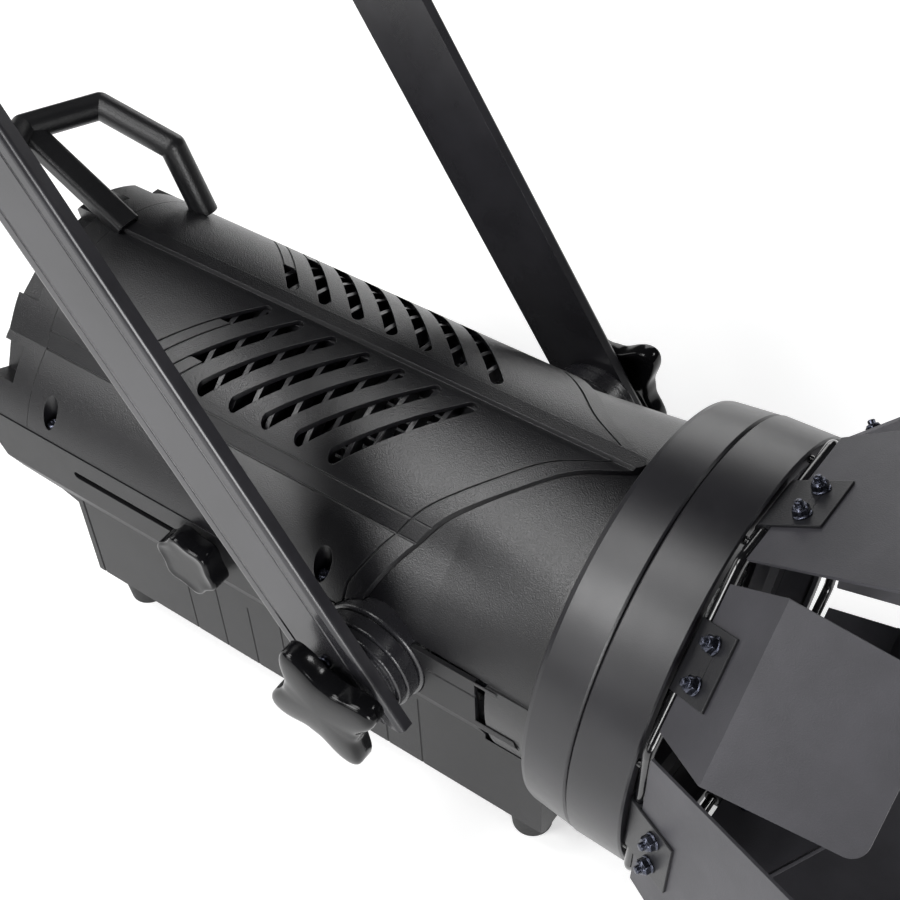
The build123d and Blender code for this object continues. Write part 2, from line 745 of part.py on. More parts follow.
def carriage_plate():
    plate = block(-74, 74, head_y - 2, head_y + 2, -47, 24)
    plate += block(-50, 50, head_y - 2, head_y + 2, 20, 55)
    plate += block(-74, -62, head_y, stem_y + 6, beam_axis_z - 5, beam_axis_z + 5)
    plate -= rod(2.25, (-80, stem_y, beam_axis_z), (-60, stem_y, beam_axis_z))
    for side in (-1, 1):
        plate -= rod(8.05, (side * rail_x, head_y - 5, rail_z), (side * rail_x, head_y + 5, rail_z))
    return plate


def bushing(side):
    start, end = head_y - 10, head_y + 14
    x = side * rail_x
    sleeve = rod(8.0, (x, start, rail_z), (x, end, rail_z))
    return sleeve - rod(rail_radius + running_gap, (x, start - 1, rail_z), (x, end + 1, rail_z))


def heatsink():
    back = head_y + 2.1
    sink = block(-52, 52, back, back + 5, beam_axis_z - 48, beam_axis_z + 48)
    for index in range(17):
        x = -52 + index * 6.4
        sink += block(x, x + 1.6, back + 4, back + 40, beam_axis_z - 48, beam_axis_z + 48)
    return sink


def led_module():
    front = head_y - 2.1
    board = block(-28, 28, front - 2, front, beam_axis_z - 28, beam_axis_z + 28)
    return board + rod(14, (0, front - 3.2, beam_axis_z), (0, front - 1.5, beam_axis_z))


def reflector():
    front = -(head_y - 4.3)
    return turned([(16, front), (17.6, front), (36.5, front + 34), (38.5, front + 34), (38.5, front + 36),
                   (35.0, front + 36)])


fan_front = head_y + 42.6


def fan_frame():
    size = 46
    frame = block(-size, size, fan_front, fan_front + 14, beam_axis_z - size, beam_axis_z + size)
    frame -= rod(43, (0, fan_front - 1, beam_axis_z), (0, fan_front + 20, beam_axis_z))
    back = fan_front + 12
    strut = block(10, 44.5, back, back + 2, -2, 2)
    for angle in (0, 90, 180, 270):
        frame += Location((0, 0, beam_axis_z)) * Location((0, 0, 0), (0, angle, 0)) * strut
    frame += rod(14, (0, back, beam_axis_z), (0, back + 2, beam_axis_z))
    return frame + rod(2.0, (0, fan_front + 2, beam_axis_z), (0, back + 1, beam_axis_z))


def fan_rotor():
    front, back = fan_front + 0.8, fan_front + 11.4
    rotor = rod(17, (0, front, beam_axis_z), (0, back, beam_axis_z))
    for index in range(7):
        blade = Location((0, (front + back) / 2, 0)) * Location((0, 0, 0), (35, 0, 0)) * Box(25, 1.4, 11)
        blade = Location((28.5, 0, 0)) * blade
        rotor += Location((0, 0, beam_axis_z)) * Location((0, 0, 0), (0, index * 360 / 7, 0)) * blade
    rotor &= block(-60, 60, front, back, -60, 60)
    return rotor - rod(2.0 + running_gap, (0, front - 1, beam_axis_z), (0, back + 1, beam_axis_z))


# ---------------------------------------------------------------- inner frame and electrics
def chassis_frame():
    frame = block(-78, 78, -60, 218, -99, -97)
    for side in (-1, 1):
        frame += block(side * 82, side * 84, -36, 28, -95, 30)
        frame += block(side * 74, side * 84, -36, 28, -97, -95)
        frame -= rod(stud_radius + 1.5, (side * 80, 0, 0), (side * 86, 0, 0))
    for y in (-60, 196):
        frame += block(-72, 72, y, y + 2, -99, -26)
        for side in (-1, 1):
            frame -= rod(rail_radius, (side * rail_x, y - 1, rail_z), (side * rail_x, y + 3, rail_z))
    for x, y in foot_places:
        frame -= rod(4, (x, y, -101), (x, y, -95))
    return frame


def guide_rail(side):
    return rod(rail_radius - 0.02, (side * rail_x, -61, rail_z), (side * rail_x, 201, rail_z))


def power_supply():
    case = block(-70, -6, -50, 100, -96.5, -56)
    for index in range(12):
        case -= block(-60, -16, -40 + index * 11, -36 + index * 11, -58, -50)
    return case


def driver_board():
    board = block(6, 70, -30, 110, -90, -88.4)
    parts_on_board = ((18, -10, 7, 18), (40, -8, 9, 22), (58, 20, 6, 12), (22, 40, 10, 9), (46, 64, 12, 14))
    for x, y, size, height in parts_on_board:
        board += block(x - size, x + size, y - size, y + size, -88.5, -88.5 + height)
    for x in (10, 66):
        for y in (-26, 106):
            board += rod(2.5, (x, y, -96.9), (x, y, -89))
    return board


def housing_screws():
    screws = []
    for x, y in screw_places:
        head = rod(3.9, (x, y, seam_z + 5.05), (x, y, seam_z + 7.6))
        screws.append(head + rod(1.9, (x, y, -6), (x, y, seam_z + 6)))
    return screws


# ---------------------------------------------------------------- write every node
save("upper_shell", upper_shell())
save("vent_grilles", vent_grille(-1), vent_grille(1))
save("lower_shell", lower_shell())
save("front_cowl", front_cowl())
save("rear_cap", rear_cap())
save("rear_handle", rear_handle())
save("rear_panel", rear_panel())
save("power_sockets", socket(-66, 12.0, 13.0, 3), socket(-38, 12.0, 13.0, 3))
save("signal_sockets", socket(38, 11.0, 12.0, 5), socket(66, 11.0, 12.0, 5))
save("display", display())
for number, x in enumerate(button_places, start=1):
    save(f"menu_button_{number}", menu_button(x))
save("rubber_feet", *rubber_feet())
save("housing_screws", *housing_screws())
save("chassis_frame", chassis_frame())
save("guide_rails", guide_rail(-1), guide_rail(1))
save("power_supply", power_supply())
save("driver_board", driver_board())

save("front_ring", front_ring())
save("lens", fresnel_lens())
save("lens_retainer", lens_retainer())
save("accessory_ring", accessory_ring())
save("door_frame", door_frame())

blanks = [main_door(), slim_door()]
hinge = door_hinge()
for index, name in enumerate(door_names):
    place = door_place(index)
    shift = main_hinge_shift if index % 2 == 0 else 0.0
    save(f"{name}_door", place * door_with_holes(blanks[index % 2], shift))
    save(f"{name}_door_hinge", *[place * Location((shift, 0, 0)) * piece for piece in hinge])

save("pivot_hubs", *both_sides(pivot_hub()))
save("arm_discs", *both_sides(arm_disc()))
for name, arm in zip(("yoke_arm_left", "yoke_arm_right"), reversed(both_sides(yoke_arm()))):
    save(name, arm)
save("yoke_crossbar", yoke_crossbar())
save("yoke_screws", *yoke_screws())
save("tilt_knob_right", *tilt_knob(right_knob_turn))
save("tilt_knob_left", *[mirror(piece, about=Plane.YZ) for piece in tilt_knob(left_knob_turn)])

save("focus_knob", focus_knob())
save("focus_stem", focus_stem())
save("carriage_plate", carriage_plate())
save("carriage_bushings", bushing(-1), bushing(1))
save("heatsink", heatsink())
save("led_module", led_module())
save("reflector", reflector())
save("fan_frame", fan_frame())
save("fan_rotor", fan_rotor())
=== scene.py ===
import json
import math

import bmesh
import bpy
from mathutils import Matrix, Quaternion, Vector


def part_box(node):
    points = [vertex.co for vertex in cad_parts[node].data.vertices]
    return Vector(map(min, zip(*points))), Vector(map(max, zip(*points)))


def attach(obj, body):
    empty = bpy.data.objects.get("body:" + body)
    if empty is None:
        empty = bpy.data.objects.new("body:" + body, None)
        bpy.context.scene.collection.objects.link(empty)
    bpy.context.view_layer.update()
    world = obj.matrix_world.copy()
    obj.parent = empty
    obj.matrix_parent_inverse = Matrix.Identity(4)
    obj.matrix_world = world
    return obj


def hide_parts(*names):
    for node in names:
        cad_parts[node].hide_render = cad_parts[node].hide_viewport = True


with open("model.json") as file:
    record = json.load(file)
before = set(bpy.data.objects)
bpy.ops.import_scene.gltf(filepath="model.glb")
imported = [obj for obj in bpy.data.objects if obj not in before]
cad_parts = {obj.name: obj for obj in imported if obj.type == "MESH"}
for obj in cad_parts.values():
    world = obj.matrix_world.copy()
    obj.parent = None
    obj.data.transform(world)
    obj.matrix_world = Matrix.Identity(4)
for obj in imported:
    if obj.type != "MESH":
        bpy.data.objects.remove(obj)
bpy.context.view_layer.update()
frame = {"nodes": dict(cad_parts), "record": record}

MM = 0.001
SLOT_OF = {row["node"]: row["material_slot"] for row in frame["record"]["subparts"]}


# ------------------------------------------------------------------ places read from the CAD
def middle(node):
    low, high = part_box(node)
    return (low + high) / 2


PIVOT = middle("pivot_hubs")


# ------------------------------------------------------------------ materials
class Graph:
    """A small helper that adds nodes to one material."""

    def __init__(self, name):
        self.material = bpy.data.materials.new(name)
        self.material.use_nodes = True
        self.tree = self.material.node_tree
        self.tree.nodes.clear()
        self.output = self.add("ShaderNodeOutputMaterial")
        self.shader = self.add("ShaderNodeBsdfPrincipled")
        self.link(self.shader.outputs[0], self.output.inputs["Surface"])
        self.coords = self.add("ShaderNodeTexCoord").outputs["Object"]

    def add(self, kind, **settings):
        node = self.tree.nodes.new(kind)
        for key, value in settings.items():
            setattr(node, key, value)
        return node

    def link(self, start, end):
        self.tree.links.new(start, end)

    def noise(self, scale, detail=2.0, roughness=0.5, distortion=0.0, vector=None):
        node = self.add("ShaderNodeTexNoise")
        node.inputs["Scale"].default_value = scale
        node.inputs["Detail"].default_value = detail
        node.inputs["Roughness"].default_value = roughness
        node.inputs["Distortion"].default_value = distortion
        self.link(vector or self.coords, node.inputs["Vector"])
        return node.outputs["Fac"]

    def voronoi(self, scale):
        node = self.add("ShaderNodeTexVoronoi", feature="F1")
        node.inputs["Scale"].default_value = scale
        self.link(self.coords, node.inputs["Vector"])
        return node.outputs["Distance"]

    def stretched(self, scale):
        """Object coordinates drawn out along one axis, for a grain with a direction."""
        node = self.add("ShaderNodeMapping")
        node.inputs["Scale"].default_value = scale
        self.link(self.coords, node.inputs["Vector"])
        return node.outputs["Vector"]

    def spread(self, value, low, high, start=0.3, end=0.7):
        """Map start..end of a value to low..high."""
        node = self.add("ShaderNodeMapRange")
        node.inputs["From Min"].default_value = start
        node.inputs["From Max"].default_value = end
        node.inputs["To Min"].default_value = low
        node.inputs["To Max"].default_value = high
        self.link(value, node.inputs["Value"])
        return node.outputs["Result"]

    def ramp(self, value, stops):
        node = self.add("ShaderNodeValToRGB")
        items = node.color_ramp.elements
        while len(items) < len(stops):
            items.new(0.5)
        for item, (place, colour) in zip(items, stops):
            item.position = place
            item.color = (*colour, 1.0)
        self.link(value, node.inputs["Fac"])
        return node.outputs["Color"]

    def mix(self, factor, first, second):
        node = self.add("ShaderNodeMix", data_type="RGBA")
        self.link(factor, node.inputs[0])
        for value, socket in ((first, node.inputs[6]), (second, node.inputs[7])):
            if isinstance(value, (tuple, list)):
                socket.default_value = (*value, 1.0)
            else:
                self.link(value, socket)
        return node.outputs[2]

    def rounded(self, radius):
        """A normal that softens edges over a radius."""
        node = self.add("ShaderNodeBevel", samples=4)
        node.inputs["Radius"].default_value = radius
        return node.outputs["Normal"]

    def edges(self, soft):
        """1 along sharp edges and 0 on flat faces."""
        dot = self.add("ShaderNodeVectorMath", operation="DOT_PRODUCT")
        self.link(soft, dot.inputs[0])
        self.link(self.add("ShaderNodeNewGeometry").outputs["True Normal"], dot.inputs[1])
        return self.spread(dot.outputs["Value"], 1.0, 0.0, 0.80, 0.985)

    def bump(self, height, distance, normal=None):
        node = self.add("ShaderNodeBump")
        node.inputs["Strength"].default_value = 1.0
        node.inputs["Distance"].default_value = distance
        self.link(height, node.inputs["Height"])
        if normal:
            self.link(normal, node.inputs["Normal"])
        return node.outputs["Normal"]

    def set(self, **values):
        """Set or link the shader's own sockets; Base_Color stands for Base Color."""
        for key, value in values.items():
            socket = self.shader.inputs[key.replace("_", " ")]
            if isinstance(value, bpy.types.NodeSocket):
                self.link(value, socket)
            elif isinstance(value, (tuple, list)):
                socket.default_value = (*value, 1.0) if len(value) == 3 else value
            else:
                socket.default_value = value


def shade(colour, factor):
    return tuple(min(1.0, channel * factor) for channel in colour)


RUBBED = (0.10, 0.10, 0.105)
# Light edge colour for the hub's rims: a painted highlight where the rim lips catch the light.
HUB_RIM_HIGHLIGHT = (0.3, 0.3, 0.32)
# Light edge colour for the baffle's ribs: a painted highlight along the rib tops.
RIB_EDGE_HIGHLIGHT = (0.35, 0.35, 0.37)


def coating(name, colour, roughness, grain, depth, wear_and_highlight_colour=RUBBED, wear_and_highlight_amount=0.5, edge=0.4 * MM,
            coat=0.0, shine=0.5, speckle=0.35):
    """Paint or moulded plastic: a grain at two sizes, uneven gloss, faint marks and edges tinted in
    patches. With the default colour the edge tint is rubbed wear; with a light colour it is a painted
    highlight.
    """
    g = Graph(name)
    soft = g.rounded(edge)
    fine = g.noise(grain, detail=3.0, roughness=0.6)
    cells = g.voronoi(grain * 0.55)
    broad = g.noise(38.0, detail=4.0)
    marks = g.noise(150.0, detail=6.0, roughness=0.75, distortion=0.6)
    body = g.ramp(broad, [(0.3, shade(colour, 0.82)), (0.7, shade(colour, 1.2))])
    speck = g.spread(fine, 0.0, speckle, 0.45, 0.75)
    body = g.mix(speck, body, shade(colour, 1.7))
    # Patches along sharp edges take the edge colour: rubbed wear with the default colour, a painted
    # highlight with the light hub and rib colours.
    wear_and_highlight_mask = g.add("ShaderNodeMath", operation="MULTIPLY")
    g.link(g.edges(soft), wear_and_highlight_mask.inputs[0])
    g.link(g.spread(marks, 0.0, wear_and_highlight_amount, 0.45, 0.65), wear_and_highlight_mask.inputs[1])
    body = g.mix(wear_and_highlight_mask.outputs[0], body, wear_and_highlight_colour)
    mixed = g.add("ShaderNodeMath", operation="ADD")
    g.link(fine, mixed.inputs[0])
    g.link(cells, mixed.inputs[1])
    normal = g.bump(mixed.outputs[0], depth, normal=soft)
    g.set(Base_Color=body, Roughness=g.spread(marks, roughness - 0.015, roughness + 0.025),
          Normal=normal, Coat_Weight=coat, Coat_Roughness=0.12, Specular_IOR_Level=shine)
    return g.material


def metal(name, colour, roughness, direction=(1.0, 1.0, 1.0), grain=900.0, depth=0.02 * MM,
          edge=0.5 * MM):
    """Bare metal with a drawn or ground grain, slight tarnish and a painted highlight along sharp edges.
    """
    g = Graph(name)
    soft = g.rounded(edge)
    lines = g.noise(grain, detail=3.0, vector=g.stretched(direction))
    cloud = g.noise(60.0, detail=5.0, roughness=0.7)
    body = g.ramp(cloud, [(0.3, shade(colour, 0.72)), (0.7, shade(colour, 1.05))])
    # Sharp edges made lighter: a painted edge highlight.
    body = g.mix(g.edges(soft), body, shade(colour, 1.35))
    g.set(Base_Color=body, Metallic=1.0, Roughness=g.spread(lines, roughness - 0.07, roughness + 0.12),
          Normal=g.bump(lines, depth, normal=soft))
    return g.material


def glass():
    """Pressed lens glass with a faint ripple."""
    g = Graph("pressed_glass")
    ripple = g.noise(220.0, detail=2.0)
    g.set(Base_Color=g.ramp(g.noise(30.0), [(0.3, (0.93, 0.96, 0.96)), (0.7, (0.99, 1.0, 1.0))]),
          Roughness=g.spread(ripple, 0.02, 0.10), Transmission_Weight=1.0, IOR=1.5,
          Normal=g.bump(ripple, 0.04 * MM))
    return g.material


def phosphor():
    """The emitter: yellow phosphor dots on a white board."""
    g = Graph("phosphor_board")
    dots = g.voronoi(260.0)
    body = g.ramp(dots, [(0.42, (0.86, 0.66, 0.12)), (0.5, (0.86, 0.85, 0.8))])
    g.set(Base_Color=body, Roughness=g.spread(g.noise(300.0), 0.25, 0.45),
          Normal=g.bump(dots, 0.1 * MM))
    return g.material


def circuit_board():
    g = Graph("circuit_board")
    tracks = g.add("ShaderNodeTexBrick", offset=0.37)
    tracks.inputs["Scale"].default_value = 130.0
    tracks.inputs["Mortar Size"].default_value = 0.06
    g.link(g.coords, tracks.inputs["Vector"])
    body = g.mix(tracks.outputs["Fac"], (0.012, 0.085, 0.04), (0.05, 0.20, 0.10))
    g.set(Base_Color=body, Roughness=g.spread(g.noise(200.0), 0.3, 0.5),
          Normal=g.bump(tracks.outputs["Fac"], 0.05 * MM))
    return g.material


def window():
    """The dark display window with a faint segment grid behind it."""
    g = Graph("display_window")
    grid = g.add("ShaderNodeTexBrick")
    grid.inputs["Scale"].default_value = 320.0
    g.link(g.coords, grid.inputs["Vector"])
    body = g.mix(grid.outputs["Fac"], (0.010, 0.022, 0.035), (0.004, 0.006, 0.008))
    g.set(Base_Color=body, Roughness=g.spread(g.noise(90.0), 0.06, 0.16), Coat_Weight=0.8,
          Normal=g.bump(g.noise(40.0), 0.02 * MM))
    return g.material


BLACK = (0.0045, 0.0044, 0.0055)
LOOKS = {
    "textured_shell": coating("fine_grain_powder_coat", BLACK, 0.30, 2500.0, 0.09 * MM, shine=0.6),
    "casing": coating("casing_powder_coat", (0.0055, 0.0054, 0.0064), 0.42, 2200.0, 0.07 * MM,
                      shine=0.35),
    "ring": coating("ring_satin_coat", (0.0105, 0.0102, 0.0126), 0.34, 2800.0, 0.012 * MM, wear_and_highlight_amount=0.3,
                    speckle=0.1, shine=0.6),
    "arm": coating("arm_satin_anodising", (0.0230, 0.0225, 0.0260), 0.24, 3000.0, 0.006 * MM,
                   wear_and_highlight_amount=0.0, shine=0.6, speckle=0.08, edge=0.15 * MM),
    "door_sheet": coating("door_matt_paint", (0.0440, 0.0430, 0.0500), 0.46, 2400.0, 0.03 * MM,
                          speckle=0.2),
    "hinge_strap": coating("strap_satin_paint", (0.0130, 0.0130, 0.0150), 0.36, 1900.0, 0.04 * MM),
    "black_rod": coating("rod_gloss_enamel", (0.0060, 0.0060, 0.0068), 0.14, 700.0, 0.02 * MM,
                         coat=0.6),
    "handle_paint": coating("handle_satin_paint", (0.0070, 0.0070, 0.0080), 0.36, 1500.0, 0.06 * MM),
    # The baffle's light rib edges are a painted highlight.
    "grille": coating("baffle_paint", (0.0150, 0.0148, 0.0170), 0.30, 1200.0, 0.05 * MM,
                      wear_and_highlight_colour=RIB_EDGE_HIGHLIGHT, wear_and_highlight_amount=0.9),
    # The hub's light rim edges are a painted highlight.
    "hub": coating("hub_moulded_nylon", (0.0150, 0.0148, 0.0175), 0.27, 1900.0, 0.03 * MM,
                   wear_and_highlight_colour=HUB_RIM_HIGHLIGHT, wear_and_highlight_amount=0.45, shine=0.7),
    "knob": coating("knob_moulded_nylon", (0.0045, 0.0045, 0.0052), 0.13, 900.0, 0.01 * MM, wear_and_highlight_amount=0.1,
                    shine=0.25),
    "socket_plastic": coating("socket_nylon", (0.0070, 0.0070, 0.0076), 0.40, 1200.0, 0.04 * MM,
                              wear_and_highlight_amount=0.2),
    "fan": coating("fan_plastic", (0.0060, 0.0060, 0.0066), 0.38, 1000.0, 0.04 * MM, wear_and_highlight_amount=0.1),
    "foot_rubber": coating("foot_rubber", (0.0080, 0.0080, 0.0084), 0.68, 800.0, 0.12 * MM, wear_and_highlight_amount=0.1,
                           edge=1.5 * MM),
    "frame_steel": metal("zinc_plate", (0.42, 0.43, 0.45), 0.38),
    "screw_steel": metal("dark_zinc", (0.075, 0.080, 0.105), 0.26, grain=1500.0),
    "rail_steel": metal("ground_rod", (0.62, 0.63, 0.65), 0.14, direction=(1.0, 0.05, 1.0)),
    "bare_aluminium": metal("extruded_aluminium", (0.60, 0.61, 0.63), 0.32,
                            direction=(1.0, 1.0, 0.04)),
    "reflector_metal": metal("polished_reflector", (0.85, 0.86, 0.88), 0.10),
    "bushing": metal("sintered_bronze", (0.48, 0.34, 0.16), 0.42, grain=1800.0),
    "led": phosphor(),
    "board": circuit_board(),
    "lens_glass": glass(),
    "display_plastic": window(),
}

for name, node in frame["nodes"].items():
    for place in node.material_slots:
        place.material = LOOKS[SLOT_OF[name]]


# ------------------------------------------------------------------ mesh helpers
class Shape:
    """A mesh under construction, made of skins through rings of points."""

    def __init__(self):
        self.mesh = bmesh.new()

    def skin(self, rings, look=0):
        """A closed surface through rings that all have the same number of points."""
        rows = [[self.mesh.verts.new(point) for point in ring] for ring in rings]
        faces = []
        for first, second in zip(rows, rows[1:]):
            for k in range(len(first)):
                after = (k + 1) % len(first)
                faces.append(self.mesh.faces.new((first[k], first[after], second[after], second[k])))
        faces.append(self.mesh.faces.new(list(reversed(rows[0]))))
        faces.append(self.mesh.faces.new(rows[-1]))
        bmesh.ops.recalc_face_normals(self.mesh, faces=faces)
        for face in faces:
            face.material_index = look
            face.smooth = True

    def turned(self, origin, axis, profile, look=0, segments=48, shape=None):
        """Revolve (height, radius) points about an axis; shape may change the radius or the height."""
        side = axis.orthogonal().normalized()
        other = axis.cross(side)
        rings = []
        for height, radius in profile:
            ring = []
            for k in range(segments):
                angle = 2 * math.pi * k / segments
                rise, reach = shape(height, radius, angle) if shape else (height, radius)
                outward = side * math.cos(angle) + other * math.sin(angle)
                ring.append(origin + axis * rise + outward * reach)
            rings.append(ring)
        self.skin(rings, look)

    def piece(self, name, body, slot, *nodes, looks=None):
        """Link the mesh as a piece that rides on a body and may stand for CAD nodes."""
        data = bpy.data.meshes.new(name)
        self.mesh.to_mesh(data)
        self.mesh.free()
        return place_piece(name, data, body, nodes, looks or [LOOKS[slot]])


def place_piece(name, data, body, nodes, looks):
    piece = bpy.data.objects.new(name, data)
    bpy.context.scene.collection.objects.link(piece)
    data.materials.clear()
    for look in looks:
        data.materials.append(look)
    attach(piece, body)
    if nodes:
        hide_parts(*nodes)
    return piece


def loose_parts(node):
    """The welded mesh of a CAD node, and the separate solids in it as lists of its vertices."""
    mesh = bmesh.new()
    mesh.from_mesh(frame["nodes"][node].data)
    bmesh.ops.remove_doubles(mesh, verts=mesh.verts, dist=1e-6)
    mesh.verts.index_update()
    seen, parts = set(), []
    for start in mesh.verts:
        if start in seen:
            continue
        part, queue = [], [start]
        seen.add(start)
        while queue:
            vert = queue.pop()
            part.append(vert)
            for edge in vert.link_edges:
                beside = edge.other_vert(vert)
                if beside not in seen:
                    seen.add(beside)
                    queue.append(beside)
        parts.append(part)
    return mesh, parts


def extent(points):
    low = Vector([min(p[k] for p in points) for k in range(3)])
    high = Vector([max(p[k] for p in points) for k in range(3)])
    return low, high


def span(points):
    low, high = extent(points)
    return (high - low).length


def centre(points):
    total = Vector((0.0, 0.0, 0.0))
    for point in points:
        total += point
    return total / len(points)


def reaches(points, origin, axis):
    """How far a set of points reaches along an axis, both ways."""
    along = [(point - origin).dot(axis) for point in points]
    return min(along), max(along)


# ------------------------------------------------------------------ knobs
# Profiles are in millimetres: (distance out from the back, share of the outline or radius).
OUTLINE_POINTS = 96
TILT_DEPTH = 15.3
TILT_LOBE_REACH = 37.4
TILT_WAIST = 22.9
TILT_SHARPNESS = 1.8
TILT_DOME = [(7.0, 0.30), (5.0, 0.62), (2.5, 0.80), (2.0, 0.88), (2.0, 0.93), (2.5, 0.975),
             (3.5, 0.998), (10.6, 0.998), (11.7, 0.99), (12.6, 0.97), (13.3, 0.94), (13.9, 0.89),
             (14.3, 0.82), (14.6, 0.73), (14.9, 0.6), (15.1, 0.44), (15.2, 0.26), (15.25, 0.08)]
TILT_BOSS = [(-4.6, 9.6), (-4.9, 10.2), (-4.6, 10.7), (0.5, 10.7), (5.4, 10.7), (5.5, 9.0)]
STUD_RADIUS = 4.97
STUD_TIP_RADIUS = 4.2
STUD_CHAMFER = 0.8
LEFT_TILT_TURN = 60.0
RIGHT_TILT_TURN = 35.0
FOCUS_LOBE_REACH = 20.0
FOCUS_WAIST = 17.2
FOCUS_SHARPNESS = 1.2
FOCUS_TURN = 15.0


def lobed(lobes, reach, waist, sharpness, turn):
    """An outline that swells out to reach at each lobe and draws in to the waist between."""
    outline = []
    for k in range(OUTLINE_POINTS):
        angle = 2 * math.pi * k / OUTLINE_POINTS
        radius = waist + (reach - waist) * ((1 + math.cos(lobes * angle)) / 2) ** sharpness
        place = angle + math.radians(turn)
        outline.append((radius * math.cos(place), radius * math.sin(place)))
    return outline


def grip(shape, start, side, outline, layers):
    """A lobed grip: each layer is a distance out along X and a share of the outline."""
    rings = []
    for out, share in layers:
        ring = []
        for y, z in outline:
            ring.append(start + Vector((side * out * MM, share * y * MM, share * z * MM)))
        rings.append(ring)
    shape.skin(rings)


def tilt_knob(name, side, turn):
    """The domed four-lobed clamp knob with its boss and stud."""
    low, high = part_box(name)
    face = high.x if side > 0 else low.x
    inner = low.x if side > 0 else high.x
    outward = Vector((side, 0, 0))
    back = Vector((face - side * TILT_DEPTH * MM, PIVOT.y, PIVOT.z))
    length = abs(back.x - inner)
    shape = Shape()
    grip(shape, back, side, lobed(4, TILT_LOBE_REACH, TILT_WAIST, TILT_SHARPNESS, turn), TILT_DOME)
    shape.turned(back, outward, [(out * MM, radius * MM) for out, radius in TILT_BOSS])
    stud = [(-length, STUD_TIP_RADIUS * MM), (STUD_CHAMFER * MM - length, STUD_RADIUS * MM),
            (0.0, STUD_RADIUS * MM)]
    shape.turned(back, outward, stud, look=1)
    shape.piece(f"{name}_grip", name, "knob", name, looks=[LOOKS["knob"], LOOKS["screw_steel"]])


def focus_knob():
    """The six-lobed focus knob: a flat face with a thin rolled rim."""
    low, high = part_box("focus_knob")
    depth = (high.x - low.x) / MM
    start = Vector((high.x, (low.y + high.y) / 2, (low.z + high.z) / 2))
    base = [(0.8, 0.30), (0.3, 0.60), (0.0, 0.90), (0.2, 0.96), (0.9, 0.997)]
    rim = [(2.0, 0.997), (0.9, 0.985), (0.25, 0.955), (0.03, 0.915), (0.06, 0.87), (0.35, 0.82),
           (0.45, 0.60), (0.5, 0.30), (0.5, 0.06)]
    layers = base + [(depth - under, share) for under, share in rim]
    shape = Shape()
    grip(shape, start, -1, lobed(6, FOCUS_LOBE_REACH, FOCUS_WAIST, FOCUS_SHARPNESS, FOCUS_TURN), layers)
    shape.piece("focus_knob_grip", "focus_knob", "knob", "focus_knob")


# ------------------------------------------------------------------ screws and nuts
# Profiles are in millimetres: (height above the seat, radius).
CROSS_HALF_WIDTH = 0.42 * MM
CROSS_REACH = 1.9 * MM
CROSS_DEPTH = 1.2 * MM
HINGE_HEAD_RADIUS = 3.75 * MM
HINGE_HEAD_HEIGHT = 2.35 * MM
YOKE_HEAD_RADIUS = 3.65 * MM
YOKE_HEAD_HEIGHT = 2.15 * MM
HOUSING_HEAD_RADIUS = 3.85 * MM
HOUSING_HEAD_HEIGHT = 2.4 * MM
THREAD_PITCH = 0.7 * MM
THREAD_ROOT = 1.72 * MM
THREAD_CREST = 1.95 * MM
NUT_FLATS = 7.0 * MM
NUT_FLANGE = [(0.0, 2.2), (0.0, 4.15), (0.25, 4.4), (0.6, 4.4), (0.95, 4.1), (1.0, 2.4)]
NUT_BODY = [(0.9, 2.4), (0.9, 3.9), (1.0, 4.04), (3.5, 4.04), (3.9, 3.75), (4.1, 3.3), (4.6, 3.2),
            (4.95, 2.95), (5.0, 2.6), (4.8, 2.4)]
NUT_RING = [(4.6, 2.5), (4.85, 2.5), (5.02, 2.35), (5.02, 2.1), (4.7, 2.0)]
STRAP_ROUNDING = 0.25 * MM


def cross_recess(height, radius, angle):
    """Push the middle of a screw's head down into a cross."""
    x, y = abs(radius * math.cos(angle)), abs(radius * math.sin(angle))
    inside = min(x, y) < CROSS_HALF_WIDTH and max(x, y) < CROSS_REACH
    return (height - CROSS_DEPTH if inside else height), radius


def pan_head(shape, base, axis, radius, height):
    """A pan head with a cross recess, standing on base."""
    profile = [(0.0, 0.55 * radius), (0.0, 0.96 * radius), (0.10 * height, radius),
               (0.35 * height, radius)]
    for k in range(1, 7):
        turn = k * math.pi / 12
        profile.append((height * (0.35 + 0.65 * math.sin(turn)), radius * (0.55 + 0.45 * math.cos(turn))))
    crown = (0.52, 0.48, 0.42, 0.36, 0.30, 0.24, 0.18, 0.12, 0.05)
    profile += [(height, radius * share) for share in crown]
    shape.turned(base, axis, profile, segments=64, shape=cross_recess)


def hexagon(flats):
    """A shape rule that trims a turned profile to a hexagon."""
    def shape(height, radius, angle):
        folded = (angle + math.pi / 6) % (math.pi / 3) - math.pi / 6
        return height, min(radius, flats / 2 / math.cos(folded))
    return shape


def lock_nut(shape, base, axis):
    """A flanged lock nut with a nylon ring."""
    shape.turned(base, axis, [(h * MM, r * MM) for h, r in NUT_FLANGE])
    shape.turned(base, axis, [(h * MM, r * MM) for h, r in NUT_BODY], segments=60,
                 shape=hexagon(NUT_FLATS))
    shape.turned(base, axis, [(h * MM, r * MM) for h, r in NUT_RING], look=1)


def bolt_end(shape, base, axis, top):
    """A threaded end with a small chamfer."""
    profile = [(-3.0 * MM, 1.8 * MM)]
    height = 0.0
    while height < top - 0.9 * MM:
        profile += [(height, THREAD_ROOT), (height + THREAD_PITCH / 2, THREAD_CREST)]
        height += THREAD_PITCH
    profile += [(top - 0.3 * MM, 1.8 * MM), (top, 1.5 * MM), (top, 0.1 * MM)]
    shape.turned(base, axis, profile, segments=32)


def nylon():
    g = Graph("blue_nylon_ring")
    body = g.ramp(g.noise(900.0), [(0.3, (0.10, 0.16, 0.55)), (0.7, (0.20, 0.28, 0.75))])
    g.set(Base_Color=body, Roughness=g.spread(g.noise(600.0), 0.25, 0.4),
          Normal=g.bump(g.noise(1400.0), 0.02 * MM))
    return g.material


NYLON = nylon()


